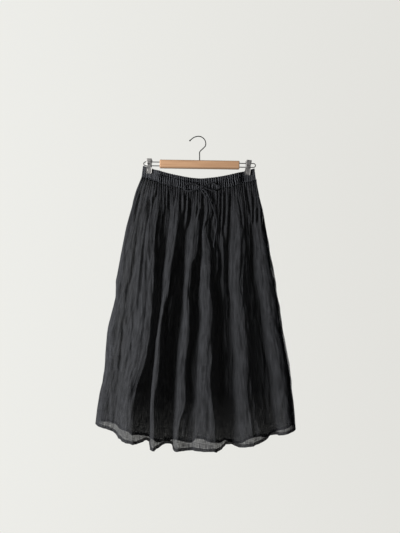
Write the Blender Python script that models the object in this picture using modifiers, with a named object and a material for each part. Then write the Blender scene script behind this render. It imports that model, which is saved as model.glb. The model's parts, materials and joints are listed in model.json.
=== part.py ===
"""A gathered skirt that hangs from a wooden clip hanger.

Metres, +Z up, the front faces -Y. The origin is the inner top of the hanger's hook, where a nail or rail holds it.
The cloth is built as walls between an outer and an inner surface. Both come from one rule for the panel's
section, which runs through the crest and valley lines of the folds in the two tables below.
"""

import math

import bmesh
import bpy
import numpy as np
from mathutils import Vector

MM = 0.001
SEAM_GAP = 0.3 * MM
TOUCH_GAP = 0.3 * MM

# Cloth
CLOTH = 1.2 * MM
CASING_CLOTH = 1.8 * MM
HEM_CLOTH = 2.0 * MM

# Waist: a casing over elastic that sags between the two clips
MIDDLE_X = 4.5 * MM
WAIST_TOP_Z = -127.5 * MM
WAIST_SAG = 36 * MM
WAIST_HALF = 168 * MM
SAG_POWER = 1.55
CASING_HEIGHT = 36 * MM
HEADER_HEIGHT = 9 * MM
CASING_TAPER = 0.975
HANG_TILT = math.radians(0.9)

# Hem: its lowest line, and how much the line rises towards the side seams
HEM_LOW_Z = -921.5 * MM
HEM_RISE = 56 * MM
HEM_MIDDLE_X = 20 * MM
HEM_HALF = 310 * MM
HEM_POWER = 1.8

# Gathers: the number of small waves on one half of the waist, and how they fade down the cloth
GATHERS = 36
GATHER_DEPTH = 2.7 * MM
GATHER_FADE = 0.16
CASING_GATHER = 1.5 * MM

# Panel sections: the share of the panel's height where each column of the tables lies
LINE_HEIGHTS = (0.0, 0.1, 0.3, 0.6, 1.0)
DEPTH_HEIGHTS = (0.0, 0.3, 1.0)
FLANK_STEEPNESS = 0.55

# Fold lines of the front, in millimetres, from the wearer's right seam to the left one as seen from the front.
# The x columns give where the line runs from the casing to the hem, the depth columns how far it stands forward.
FRONT_FOLDS = [
    # line, x at casing, hip, thigh, knee, hem, depth at casing, thigh, hem
    ("seam_left", -171, -199, -231, -268, -308, 0, 0, 0),
    ("crest_a", -124, -122, -131, -151, -195, 8, 40, 70),
    ("valley_b", -100, -95, -98, -129, -150, 7, 9, 12),
    ("crest_c", -64, -60, -65, -104, -129, 9, 43, 75),
    ("valley_d", -46, -43, -43, -58, -79, 8, 9, 9),
    ("crest_e", -16, -7, -7, -34, -47, 10, 37, 62),
    ("valley_f", 7, 12, 4, -4, -13, 9, 14, 34),
    ("crest_g", 28, 28, 33, 36, 33, 11, 38, 60),
    ("valley_h", 85, 89, 90, 98, 88, 8, 9, 9),
    ("crest_i", 124, 125, 128, 131, 143, 9, 32, 48),
    ("valley_j", 145, 151, 168, 198, 213, 7, 9, 9),
    ("crest_k", 160, 172, 192, 229, 250, 5, 22, 36),
    ("seam_right", 171, 186, 213, 250, 287, 0, 0, 0),
]

# Fold lines of the back, with the depth columns giving how far each stands towards the wall behind.
BACK_FOLDS = [
    # line, x at casing, hip, thigh, knee, hem, depth at casing, thigh, hem
    ("seam_left", -171, -199, -231, -268, -308, 0, 0, 0),
    ("crest_1", -148, -170, -196, -230, -266, 6, 20, 36),
    ("valley_1", -124, -138, -158, -192, -226, 7, 9, 9),
    ("crest_2", -94, -104, -124, -152, -180, 9, 28, 42),
    ("valley_2", -72, -80, -96, -112, -126, 8, 9, 9),
    ("crest_3", -52, -58, -66, -76, -86, 10, 26, 40),
    ("valley_3", -28, -28, -30, -36, -34, 9, 10, 9),
    ("crest_4", -4, -4, -2, 4, 2, 11, 28, 43),
    ("valley_4", 26, 30, 38, 48, 54, 9, 9, 9),
    ("crest_5", 46, 52, 60, 76, 88, 10, 26, 41),
    ("valley_5", 68, 74, 84, 102, 122, 8, 9, 9),
    ("crest_6", 94, 104, 122, 150, 170, 9, 28, 43),
    ("valley_6", 122, 134, 150, 180, 204, 7, 9, 9),
    ("crest_7", 148, 160, 182, 212, 244, 6, 20, 36),
    ("seam_right", 171, 186, 213, 250, 287, 0, 0, 0),
]

# Heights of the wall's rings, as shares of the panel's height, closer together under the casing and at the hem
PANEL_ROWS = (0, 0.02, 0.05, 0.09, 0.14, 0.2, 0.27, 0.35, 0.44, 0.54, 0.64, 0.74, 0.84, 0.93, 0.99, 1)
FRONT_COLUMNS = 2 * GATHERS
BACK_COLUMNS = 2 * GATHERS

# Hanger
BAR_LENGTH = 239 * MM
BAR_HEIGHT = 25 * MM
BAR_THICK = 12 * MM
BAR_EDGE = 2.5 * MM
BAR_Z = -83.5 * MM
SHAFT_X = 3 * MM
HOOK_WIRE = 3.4 * MM
HOOK_TIP = 5 * MM
RAIL_WIRE = 3.2 * MM
RAIL_APART = 11.5 * MM
RAIL_REACH = 48 * MM
CLIP_WIDTH = 17 * MM
CLIP_PLATE = 1.2 * MM
JAW_LENGTH = 26 * MM
HANDLE_LENGTH = 20 * MM
HANDLE_SPREAD = 9 * MM
SPRING_RADIUS = 4.2 * MM
SPRING_LENGTH = 9 * MM
WAIST_PINCHED = 1.6 * MM
CLIPS = (
    # side, distance from the bar's middle, lean
    ("left", -151 * MM, 0),
    ("right", 145.5 * MM, math.radians(5)),
)

# Drawstring: the routes of its loops and free ends, points chosen by hand, in millimetres
STRING = 4.5 * MM
KNOT = (10.5 * MM, -17.2 * MM, -153 * MM)
KNOT_SIZE = (14 * MM, 9 * MM, 12 * MM)

LOOP_LEFT = [
    (3, -17.2, -152), (-6, -17.4, -147), (-17, -17, -144), (-29, -16.6, -145), (-39, -16, -150),
    (-43, -15.8, -157), (-38, -15.8, -163), (-27, -17.6, -165), (-15, -18.2, -163), (-5, -19, -160),
    (3.4, -19.4, -157),
]
LOOP_RIGHT = [
    (17.5, -17, -150.8), (26, -17.2, -146), (36, -17.8, -142), (47, -17, -143), (56, -16.6, -149),
    (57, -16.6, -157), (50, -17, -163), (39, -18.6, -164), (28, -18.4, -159.5), (17.5, -19, -155.6),
]
END_LEFT = [
    (7.4, -18.4, -160), (12.4, -19.6, -169), (20, -20.3, -179), (24, -21, -190), (26, -22, -202),
    (26.5, -23.4, -215), (26, -25, -228), (24, -26.2, -241), (21, -27, -254), (18, -27, -267),
    (15.5, -24.5, -280), (13.5, -22.5, -292),
]
END_RIGHT = [
    (13.8, -18.8, -159.2), (20.8, -19.8, -167), (28, -20.4, -178), (33, -21.8, -190), (38, -23.2, -203),
    (43.5, -24, -217), (48.5, -24.6, -231), (52, -25.6, -246), (53.5, -27.2, -261), (53, -29, -276),
    (51, -31.4, -291), (48, -34, -306), (45.5, -36.4, -320), (44, -38.2, -333),
]


def through(knots, values, at):
    """A smooth curve through values at knots, read at one place (Hermite, with slopes from the neighbours)."""
    last = len(knots) - 1
    i = min(max(int(np.searchsorted(knots, at, side="right")) - 1, 0), last - 1)
    slopes = []
    for k in (i, i + 1):
        low, high = max(k - 1, 0), min(k + 1, last)
        slopes.append((values[high] - values[low]) / (knots[high] - knots[low]))
    width = knots[i + 1] - knots[i]
    u = (at - knots[i]) / width
    start = (1 + 2 * u) * (1 - u) ** 2 * values[i] + u * (1 - u) ** 2 * width * slopes[0]
    end = u * u * (3 - 2 * u) * values[i + 1] + u * u * (u - 1) * width * slopes[1]
    return start + end


def waist_top(x):
    """Height of the waist's upper edge: it sags between the clips and follows the hanger's tilt."""
    share = abs(x - MIDDLE_X) / WAIST_HALF
    return WAIST_TOP_Z + WAIST_SAG * share**SAG_POWER - math.tan(HANG_TILT) * (x - MIDDLE_X)


def hem_line(x):
    """Height of the hem, which rises towards the side seams because the waist sags between the clips."""
    return HEM_LOW_Z + HEM_RISE * (abs(x - HEM_MIDDLE_X) / HEM_HALF) ** HEM_POWER


def fold_shares(folds):
    """Where each fold line lies across the flat cloth, from 0 to 1: the cloth's length along the hem."""
    steps = [math.hypot(b[5] - a[5], b[8] - a[8]) for a, b in zip(folds, folds[1:])]
    along = np.concatenate([[0], np.cumsum(steps)])
    return along / along[-1]


def section_point(folds, shares, share, height):
    """(x, depth) of the folded cloth at one place across it and one height, without the gathers."""
    i = min(max(int(np.searchsorted(shares, share, side="right")) - 1, 0), len(folds) - 2)
    u = (share - shares[i]) / (shares[i + 1] - shares[i])
    x0, x1 = (through(LINE_HEIGHTS, line[1:6], height) * MM for line in folds[i : i + 2])
    d0, d1 = (through(DEPTH_HEIGHTS, line[6:9], height) * MM for line in folds[i : i + 2])
    if i == 0:
        quarter = math.pi / 2 * u
        return x1 - (x1 - x0) * math.cos(quarter), d0 + (d1 - d0) * math.sin(quarter)
    if i == len(folds) - 2:
        quarter = math.pi / 2 * (1 - u)
        return x0 + (x1 - x0) * math.cos(quarter), d1 + (d0 - d1) * math.sin(quarter)
    swing = FLANK_STEEPNESS * math.sin(2 * math.pi * u) / (2 * math.pi)
    return x0 + (x1 - x0) * (u + swing), d0 + (d1 - d0) * (1 - math.cos(math.pi * u)) / 2


def section(folds, columns, height):
    """The points of one section, from seam to seam, as (x, depth)."""
    shares = fold_shares(folds)
    return np.array([section_point(folds, shares, i / columns, height) for i in range(columns + 1)])


def normals_of(line):
    """Unit normals of a section that point out of the skirt, and how much a mitre lengthens the offset."""
    steps = np.diff(line, axis=0)
    steps /= np.linalg.norm(steps, axis=1)[:, None]
    out = np.stack([-steps[:, 1], steps[:, 0]], axis=1)
    before = np.vstack([out[:1], out])
    after = np.vstack([out, out[-1:]])
    middle = before + after
    middle /= np.linalg.norm(middle, axis=1)[:, None]
    mitre = 1 / np.maximum((middle * before).sum(1), 0.6)
    # At the seams the wall ends square to the side, so front and back meet face to face.
    middle[0], middle[-1], mitre[0], mitre[-1] = (-1, 0), (1, 0), 1, 1
    return middle, mitre


def gathered(line, depth):
    """The section with small waves of the given depth laid over it, one wave for every two columns."""
    out, _ = normals_of(line)
    wave = np.where(np.arange(len(line)) % 2 == 1, 1.0, -1.0)
    wave *= 0.8 + 0.2 * np.sin(1.7 * np.arange(len(line)))
    wave[[0, -1]] = 0
    return line + out * (wave * depth)[:, None]


def walls(line, thick):
    """The outer and the inner line of a wall around a section."""
    out, mitre = normals_of(line)
    half = (mitre * thick / 2)[:, None]
    return line + out * half, line - out * half


def placed(line, heights, side):
    """3-D points of a section: side is -1 for the front and 1 for the back, and the seam gap is left open."""
    y = side * (line[:, 1] + SEAM_GAP / 2)
    return np.stack([line[:, 0], y, heights], axis=1)


def shell(name, outer_rows, inner_rows, material):
    """A closed wall between two grids of points, given from the top row to the bottom one."""
    rows, columns = len(outer_rows), len(outer_rows[0])
    bm = bmesh.new()
    grids = [[[bm.verts.new(p) for p in row] for row in grid] for grid in (outer_rows, inner_rows)]
    outer, inner = grids
    for r in range(rows - 1):
        for c in range(columns - 1):
            bm.faces.new((outer[r][c], outer[r][c + 1], outer[r + 1][c + 1], outer[r + 1][c]))
            bm.faces.new((inner[r][c], inner[r + 1][c], inner[r + 1][c + 1], inner[r][c + 1]))
    for c in range(columns - 1):
        bm.faces.new((outer[0][c + 1], outer[0][c], inner[0][c], inner[0][c + 1]))
        bm.faces.new((outer[-1][c], outer[-1][c + 1], inner[-1][c + 1], inner[-1][c]))
    for r in range(rows - 1):
        bm.faces.new((outer[r][0], outer[r + 1][0], inner[r + 1][0], inner[r][0]))
        bm.faces.new((outer[r + 1][-1], outer[r][-1], inner[r][-1], inner[r + 1][-1]))
    bmesh.ops.recalc_face_normals(bm, faces=bm.faces)
    return finished(name, bm, material)


def panel(name, folds, columns, side, material):
    """A skirt panel, from under the casing to the hem."""
    outer_rows, inner_rows = [], []
    hem = section(folds, columns, 1.0)
    waist = section(folds, columns, 0.0)
    tops = np.array([waist_top(x) for x in waist[:, 0]]) - CASING_HEIGHT - 2 * SEAM_GAP
    bottoms = np.array([hem_line(x) for x in hem[:, 0]])
    for height in PANEL_ROWS:
        depth = GATHER_DEPTH * math.exp(-height / GATHER_FADE)
        line = gathered(section(folds, columns, height), depth)
        thick = HEM_CLOTH if height > 0.995 else CLOTH
        z = tops + (bottoms - tops) * height
        outer, inner = walls(line, thick)
        outer_rows.append(placed(outer, z, side))
        inner_rows.append(placed(inner, z, side))
    return shell(name, outer_rows, inner_rows, material)


def casing_line(folds, columns, drop):
    """A section of the waist casing at a drop below its upper edge. It meets the panel's first section."""
    line = section(folds, columns, 0.0)
    down = drop / CASING_HEIGHT
    line[:, 0] = MIDDLE_X + (line[:, 0] - MIDDLE_X) * (CASING_TAPER + (1 - CASING_TAPER) * down)
    from_bar = line[:, 0] - SHAFT_X
    inside = np.minimum(from_bar - CLIPS[0][1], CLIPS[1][1] - from_bar)
    flat = np.clip((CLIP_WIDTH * 1.25 - inside) / (CLIP_WIDTH * 0.5), 0, 1) * min(1, (1.25 - down) / 0.5)
    line[:, 1] += (np.minimum(line[:, 1], WAIST_PINCHED) - line[:, 1]) * flat
    return line, 1 - 0.9 * flat


def casing(name, folds, columns, side, material):
    """Half of the waistband: a gathered casing, drawn in along its upper stitch line and at its lower edge."""
    outer_rows, inner_rows = [], []
    stations = (
        # drop below the top edge, how far the casing swells there, how deep its gathers are
        (0.0, 0.2, 0.7),
        (0.5 * HEADER_HEIGHT, 0.4, 0.9),
        (HEADER_HEIGHT, -0.3, 0.55),
        (HEADER_HEIGHT + 0.45 * (CASING_HEIGHT - HEADER_HEIGHT), 1.0, 1.0),
        (CASING_HEIGHT, 0.0, GATHER_DEPTH / CASING_GATHER),
    )
    for drop, swell, wave in stations:
        line, free = casing_line(folds, columns, drop)
        inside = np.ones(len(line))
        inside[[0, -1]] = 0
        line[:, 1] += swell * MM * inside * free
        top = np.array([waist_top(x) for x in line[:, 0]])
        straight = gathered(line, CASING_GATHER * wave) - line
        line = line + straight * free[:, None]
        thick = CASING_CLOTH + (CLOTH - CASING_CLOTH) * (drop == CASING_HEIGHT)
        outer, inner = walls(line, thick)
        outer_rows.append(placed(outer, top - drop, side))
        inner_rows.append(placed(inner, top - drop, side))
    return shell(name, outer_rows, inner_rows, material)


def finished(name, bm, material):
    """Puts a bmesh into a new object of the skirt's collection."""
    mesh = bpy.data.meshes.new(name)
    bm.to_mesh(mesh)
    bm.free()
    return linked(name, mesh, material)


def linked(name, data, material):
    data.materials.append(material)
    made = bpy.data.objects.new(name, data)
    parts.objects.link(made)
    return made


def painted(name, colour, roughness, metallic=0.0):
    """A plain surface of one colour."""
    made = bpy.data.materials.new(name)
    made.use_nodes = True
    surface = made.node_tree.nodes["Principled BSDF"]
    surface.inputs["Base Color"].default_value = (*colour, 1)
    surface.inputs["Roughness"].default_value = roughness
    surface.inputs["Metallic"].default_value = metallic
    return made


def tube(name, points, diameter, material, swells=()):
    """A round wire or string along points; swells gives a wider radius to some of them."""
    curve = bpy.data.curves.new(name, "CURVE")
    curve.dimensions = "3D"
    curve.bevel_depth = diameter / 2
    curve.bevel_resolution = 2
    curve.use_fill_caps = True
    spline = curve.splines.new("POLY")
    spline.points.add(len(points) - 1)
    for point, place in zip(spline.points, points):
        point.co = (*place, 1)
    for index, times in swells:
        spline.points[index].radius = times
    return linked(name, curve, material)


def smooth_route(points, step):
    """Points read from a smooth curve through a route's own points, about one step apart."""
    route = np.array(points, float)
    along = np.concatenate([[0], np.cumsum(np.linalg.norm(np.diff(route, axis=0), axis=1))])
    count = max(3, round(along[-1] / step))
    places = np.linspace(0, along[-1], count + 1)
    return [Vector([through(along, route[:, k], p) for k in range(3)]) for p in places]


def arc(centre, radius, start, end, steps):
    """Points of an arc in the plane of the wall, from one angle to another, in degrees."""
    turns = np.radians(np.linspace(start, end, steps + 1))
    return [Vector((centre[0] + radius * math.cos(a), 0, centre[1] + radius * math.sin(a))) for a in turns]


def hook(material):
    """The wire hook: up from the bar, out to the right, over the top and down to a rounded tip on the left."""
    crown = 22 * MM
    inner_top = HOOK_WIRE / 2
    centre = (-0.5 * MM, inner_top - crown)
    over = arc(centre, crown, -20, 108, 13)
    shaft_top = Vector((SHAFT_X, 0, -47 * MM))
    shaft_foot = Vector((SHAFT_X, 0, BAR_Z + BAR_HEIGHT / 2 + TOUCH_GAP))
    neck = [shaft_foot, Vector((SHAFT_X, 0, -55 * MM)), shaft_top, Vector((6 * MM, 0, -42 * MM))]
    neck += [Vector((14 * MM, 0, -34.5 * MM))]
    tip = [(-13.5, -1.6), (-20.5, -6.5), (-25.8, -11.2), (-27.8, -12.9)]
    points = neck + over + [Vector((x * MM, 0, z * MM)) for x, z in tip]
    wide = HOOK_TIP / HOOK_WIRE
    return tube("hanger_hook", points, HOOK_WIRE, material, swells=((-2, wide), (-1, wide * 0.7)))


def tilted(made):
    """Turns a piece of the hanger about the shaft's foot, as it hangs slightly lower on the right."""
    made.parent = bar_tilt
    return made


def block(name, size, place, edge, material):
    """A box with rounded edges."""
    bm = bmesh.new()
    bmesh.ops.create_cube(bm, size=1)
    bmesh.ops.scale(bm, vec=Vector(size), verts=bm.verts)
    made = finished(name, bm, material)
    rounding = made.modifiers.new("edges", "BEVEL")
    rounding.width = edge
    rounding.segments = 3
    made.location = place
    return made


def rail(name, side, material):
    """A wire loop that comes out of the bar's end, passes through the clip and returns."""
    start = side * (BAR_LENGTH / 2 + TOUCH_GAP)
    turn = side * (BAR_LENGTH / 2 + RAIL_REACH - RAIL_APART / 2)
    half = RAIL_APART / 2
    bend = [
        Vector((turn + side * half * math.sin(a), 0, half * math.cos(a)))
        for a in np.linspace(0, math.pi, 11)
    ]
    points = [Vector((start, 0, half)), *bend, Vector((start, 0, -half))]
    return tube(name, points, RAIL_WIRE, material)


def on_rail(made, x, lean):
    """Sets a piece of a clip at its place along the lower rail, leaning to one side."""
    made.location = (x, 0, -RAIL_APART / 2)
    made.rotation_euler = (0, lean, 0)
    return made


def clip_plate(name, x, lean, jaw, material):
    """One pressed plate of a clip: a jaw along the cloth and a handle that stands off it above the spring."""
    jaw_face = WAIST_PINCHED + CASING_CLOTH / 2 + 1.2 * MM
    spring_face = SPRING_RADIUS + TOUCH_GAP
    profile = [
        (jaw_face, 2 * MM - JAW_LENGTH),
        (jaw_face, -10 * MM),
        (spring_face, -3 * MM),
        (spring_face, 3 * MM),
        (HANDLE_SPREAD, HANDLE_LENGTH),
    ]
    bm = bmesh.new()
    for shift in (-CLIP_WIDTH / 2, CLIP_WIDTH / 2):
        for y, z in profile:
            bm.verts.new((shift, jaw * y, z))
    bm.verts.ensure_lookup_table()
    count = len(profile)
    for i in range(count - 1):
        corners = [bm.verts[k] for k in (i, i + 1, count + i + 1, count + i)]
        bm.faces.new(corners if jaw > 0 else corners[::-1])
    made = finished(name, bm, material)
    thick = made.modifiers.new("plate", "SOLIDIFY")
    thick.thickness = CLIP_PLATE
    thick.offset = 1
    thick.use_even_offset = True
    return on_rail(made, x, lean)


def clip_spring(name, x, lean, material):
    """The coiled spring between the plates, drawn as a sleeve that turns on the lower rail."""
    bore = RAIL_WIRE / 2 + 2.5 * TOUCH_GAP
    half = SPRING_LENGTH / 2
    bm = bmesh.new()
    corners = [bm.verts.new((along, 0, r)) for r in (bore, SPRING_RADIUS) for along in (-half, half)]
    for a, b in ((0, 1), (1, 3), (3, 2), (2, 0)):
        bm.edges.new((corners[a], corners[b]))
    made = finished(name, bm, material)
    turned = made.modifiers.new("turned", "SCREW")
    turned.axis = "X"
    turned.steps = 20
    turned.render_steps = 20
    turned.use_merge_vertices = True
    turned.merge_threshold = 0.00005
    return on_rail(made, x, lean)


def knot(material):
    """The bow's knot, a soft rounded lump that lies on the casing."""
    bm = bmesh.new()
    bmesh.ops.create_uvsphere(bm, u_segments=16, v_segments=10, radius=0.5)
    bmesh.ops.scale(bm, vec=Vector(KNOT_SIZE), verts=bm.verts)
    made = finished("drawstring_knot", bm, material)
    made.location = KNOT
    return made


def string(name, route, material):
    """A stretch of the drawstring along a route in millimetres."""
    return tube(name, smooth_route([[v * MM for v in p] for p in route], 2 * STRING), STRING, material)


for old in list(bpy.data.objects):
    bpy.data.objects.remove(old, do_unlink=True)

parts = bpy.data.collections.new("gathered_skirt")
bpy.context.scene.collection.children.link(parts)

black_cloth = painted("black_cloth", (0.018, 0.019, 0.021), 0.9)
black_string = painted("black_string", (0.016, 0.017, 0.02), 0.85)
pale_wood = painted("pale_wood", (0.56, 0.33, 0.19), 0.5)
bright_steel = painted("bright_steel", (0.62, 0.61, 0.6), 0.25, 1.0)

panel("skirt_front", FRONT_FOLDS, FRONT_COLUMNS, -1, black_cloth)
panel("skirt_back", BACK_FOLDS, BACK_COLUMNS, 1, black_cloth)
casing("waistband_front", FRONT_FOLDS, FRONT_COLUMNS, -1, black_cloth)
casing("waistband_back", BACK_FOLDS, BACK_COLUMNS, 1, black_cloth)

knot(black_string)
string("drawstring_loop_left", LOOP_LEFT, black_string)
string("drawstring_loop_right", LOOP_RIGHT, black_string)
string("drawstring_end_left", END_LEFT, black_string)
string("drawstring_end_right", END_RIGHT, black_string)

bar_tilt = bpy.data.objects.new("bar_tilt", None)
parts.objects.link(bar_tilt)
bar_tilt.location = (SHAFT_X, 0, BAR_Z)
bar_tilt.rotation_euler = (0, HANG_TILT, 0)

hook(bright_steel)
tilted(block("hanger_bar", (BAR_LENGTH, BAR_THICK, BAR_HEIGHT), (0, 0, 0), BAR_EDGE, pale_wood))
for clip_side, clip_x, clip_lean in CLIPS:
    tilted(rail(f"hanger_rail_{clip_side}", math.copysign(1, clip_x), bright_steel))
    tilted(clip_plate(f"clip_{clip_side}_front", clip_x, clip_lean, -1, bright_steel))
    tilted(clip_plate(f"clip_{clip_side}_back", clip_x, clip_lean, 1, bright_steel))
    tilted(clip_spring(f"clip_{clip_side}_spring", clip_x, clip_lean, bright_steel))
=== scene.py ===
"""The looks of the gathered skirt on its clip hanger.

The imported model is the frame. The cloth is made again here as fine shells on the solids' section rule and
fold tables, with uneven edges, more gathers, loose folds, creases, a turned hem and stitches. Metres, +Z up.
"""

import json
import math

import bmesh
import bpy
import numpy as np
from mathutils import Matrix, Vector, noise

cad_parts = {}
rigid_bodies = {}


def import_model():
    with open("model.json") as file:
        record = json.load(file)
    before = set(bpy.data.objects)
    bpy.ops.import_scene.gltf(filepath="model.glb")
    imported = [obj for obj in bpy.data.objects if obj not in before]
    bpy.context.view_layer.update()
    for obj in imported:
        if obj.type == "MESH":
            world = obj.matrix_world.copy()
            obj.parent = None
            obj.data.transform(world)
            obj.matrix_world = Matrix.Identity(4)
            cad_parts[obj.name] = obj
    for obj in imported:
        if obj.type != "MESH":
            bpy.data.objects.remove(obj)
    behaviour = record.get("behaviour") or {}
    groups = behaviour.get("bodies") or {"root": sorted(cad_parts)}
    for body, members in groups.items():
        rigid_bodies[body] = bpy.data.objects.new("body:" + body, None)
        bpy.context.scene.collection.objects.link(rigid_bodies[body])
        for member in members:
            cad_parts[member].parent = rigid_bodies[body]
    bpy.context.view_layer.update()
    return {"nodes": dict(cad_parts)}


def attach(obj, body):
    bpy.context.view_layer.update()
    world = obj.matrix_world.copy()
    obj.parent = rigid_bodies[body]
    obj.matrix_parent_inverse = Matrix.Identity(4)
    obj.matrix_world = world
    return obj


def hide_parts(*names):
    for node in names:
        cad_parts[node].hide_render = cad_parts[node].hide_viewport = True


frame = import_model()

MM = 0.001

# Camera: straight in front, with the photo's perspective
CAMERA = (4.2 * MM, -1350 * MM, -389.1 * MM)
SEEN_HEIGHT = 1.599
SENSOR = 36.0

# The cloth's thickness, and how far apart front and back are at the side seams (below 0: they overlap)
CLOTH = 0.7 * MM
SEAM_GAP = -0.2 * MM

# The skirt's driving sizes, as in the solids
MIDDLE_X = 4.5 * MM
WAIST_TOP_Z = -127.5 * MM
WAIST_SAG = 36 * MM
WAIST_HALF = 168 * MM
SAG_POWER = 1.55
CASING_HEIGHT = 36 * MM
HEADER_HEIGHT = 9 * MM
CASING_TAPER = 0.975
HANG_TILT = math.radians(0.9)
HEM_LOW_Z = -921.5 * MM
HEM_RISE = 56 * MM
HEM_MIDDLE_X = 20 * MM
HEM_HALF = 310 * MM
HEM_POWER = 1.8
LINE_HEIGHTS = (0.0, 0.1, 0.3, 0.6, 1.0)
DEPTH_HEIGHTS = (0.0, 0.3, 1.0)
FLANK_STEEPNESS = 0.55
SHAFT_X = 3 * MM
WAIST_PINCHED = 1.6 * MM
CLIP_WIDTH = 17 * MM
CLIPS = (
    # side, distance from the bar's middle, lean
    ("left", -151 * MM, 0),
    ("right", 145.5 * MM, math.radians(5)),
)

# The hanger's sizes: places as in the solids, wires a little finer
SPRING_RADIUS = 4.2 * MM
SPRING_LENGTH = 9 * MM
SPRING_TURNS = 7
SPRING_WIRE = 1.15 * MM
BAR_LENGTH = 239 * MM
BAR_Z = -83.5 * MM
BAR_HEIGHT = 25 * MM
RAIL_APART = 11.5 * MM
RAIL_REACH = 48 * MM
RAIL_WIRE = 2.7 * MM
HOOK_WIRE = 3.0 * MM
HOOK_TIP = 5 * MM
HANDLE_SPREAD = 9 * MM
PLATE = 1.0 * MM
PLATE_LENGTH = 44 * MM
RIB_HEIGHT = 0.35 * MM
RIB_PITCH = 2.4 * MM
SLOT_HEIGHTS = (3.2 * MM, 6.4 * MM)

# The drawstring's sizes and routes, as in the solids (routes in millimetres)
STRING = 4.5 * MM
STRING_THICK = 2.8 * MM
KNOT = (10.5 * MM, -17.2 * MM, -153 * MM)
KNOT_SIZE = (14 * MM, 9 * MM, 12 * MM)
LOOP_LEFT = [
    (3, -17.2, -152), (-6, -17.4, -147), (-17, -17, -144), (-29, -16.6, -145), (-39, -16, -150),
    (-43, -15.8, -157), (-38, -15.8, -163), (-27, -17.6, -165), (-15, -18.2, -163), (-5, -19, -160),
    (3.4, -19.4, -157),
]
LOOP_RIGHT = [
    (17.5, -17, -150.8), (26, -17.2, -146), (36, -17.8, -142), (47, -17, -143), (56, -16.6, -149),
    (57, -16.6, -157), (50, -17, -163), (39, -18.6, -164), (28, -18.4, -159.5), (17.5, -19, -155.6),
]
END_LEFT = [
    (7.4, -18.4, -160), (12.4, -19.6, -169), (20, -20.3, -179), (24, -21, -190), (26, -22, -202),
    (26.5, -23.4, -215), (26, -25, -228), (24, -26.2, -241), (21, -27, -254), (18, -27, -267),
    (15.5, -24.5, -280), (13.5, -22.5, -292),
]
END_RIGHT = [
    (13.8, -18.8, -159.2), (20.8, -19.8, -167), (28, -20.4, -178), (33, -21.8, -190), (38, -23.2, -203),
    (43.5, -24, -217), (48.5, -24.6, -231), (52, -25.6, -246), (53.5, -27.2, -261), (53, -29, -276),
    (51, -31.4, -291), (48, -34, -306), (45.5, -36.4, -320), (44, -38.2, -333),
]

# Colours, in linear light
CLOTH_DARK = (0.0058, 0.0062, 0.0072)
CLOTH_LIGHT = (0.0225, 0.0236, 0.0268)
CASING_DARK = (0.0115, 0.0123, 0.0143)
CASING_LIGHT = (0.0365, 0.0384, 0.0437)
TIE_DARK = (0.005, 0.0053, 0.0064)
TIE_LIGHT = (0.011, 0.0116, 0.0138)
WOOD_DARK = (0.46, 0.255, 0.138)
WOOD_LIGHT = (0.66, 0.405, 0.238)
# Painted shade for the wood bar's lower and upper edges
WOOD_PAINTED_SHADE = (0.27, 0.165, 0.10)
# Painted shade: the wires' plating coloured darker than the plates' same plating
WIRE_STEEL_PAINTED_SHADE = (0.30, 0.295, 0.29)
PLATE_STEEL = (0.66, 0.65, 0.64)

# How open the weave is, as shares; the back's lower share is painted shade, and its opening at its left
# painted light.
# The reaches are where that changes on the flat cloth, in metres from its left side, from its upper edge and
# from its side seams
SHEER_FRONT = 0.36
SHEER_CASING = 0.03
# Painted shade: the back panel less see-through than the front above its hem
SHEER_BACK = 0.12
# Painted light: the back panel more see-through at its left side
SHEER_BACK_LEFT_PAINTED_LIGHT = 0.27
SHEER_BACK_HEM = 0.36
PAINTED_LIGHT_LEFT_REACH = (0.06, 0.13)
HEM_REACH = (0.62, 0.75)
SEAM_REACH = (0.035, 0.014)
THREAD_PITCH = 1.0 * MM

# The light: an even room, a pale shell behind, one window in front and one behind, in watts for each finish
BACKDROP_LEFT = (0.85, 0.85, 0.815)
BACKDROP_RIGHT = (0.765, 0.76, 0.725)
ROOM_TONE = (0.96, 0.98, 1.0)
ROOM_LIGHT = (0.03, 0.10)
BACKDROP_RADIUS = 9.0
WINDOW_ON_CLOTH = 98
WINDOW_ON_WOOD = 47
WINDOW_ON_WIRE = 2
WINDOW_ON_PLATES = 18
WINDOW_SIZE = 0.7
WINDOW_TONE = (1.0, 0.985, 0.96)
WINDOW_AIM = (0, 0, -0.5)
WINDOWS = (
    # side, place, share of the power
    ("front", (-1.3, -0.85, -0.45), 1.0),
    ("back", (1.15, 1.35, -0.35), 1.05),
)

# The cloth's flat cut, in metres: width and length of a panel, and of one side of the casing
PANEL_CUT = (0.90, 0.80)
CASING_CUT = (0.84, 0.05)

# The solids' fold tables, in millimetres, with one more line (edge_a) and a fuller valley_f in the front's
# line, x at casing, hip, thigh, knee, hem, depth at casing, thigh, hem
SEAM_LEFT = ("seam_left", -171, -199, -231, -268, -308, 0, 0, 0)
SEAM_RIGHT = ("seam_right", 171, 186, 213, 250, 287, 0, 0, 0)
FRONT_FOLDS = [
    SEAM_LEFT,
    ("edge_a", -152, -170, -196, -222, -262, 5, 22, 30),
    ("crest_a", -124, -122, -131, -151, -195, 8, 40, 70),
    ("valley_b", -100, -95, -98, -129, -150, 7, 9, 12),
    ("crest_c", -64, -60, -65, -104, -129, 9, 43, 75),
    ("valley_d", -46, -43, -43, -58, -79, 8, 9, 9),
    ("crest_e", -16, -7, -7, -34, -47, 10, 37, 62),
    ("valley_f", 7, 12, 4, -4, -13, 9, 14, 46),
    ("crest_g", 28, 28, 33, 36, 33, 11, 38, 60),
    ("valley_h", 85, 89, 90, 98, 88, 8, 9, 9),
    ("crest_i", 124, 125, 128, 131, 143, 9, 32, 48),
    ("valley_j", 145, 151, 168, 198, 213, 7, 9, 9),
    ("crest_k", 160, 172, 192, 229, 250, 5, 22, 36),
    SEAM_RIGHT,
]
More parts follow.
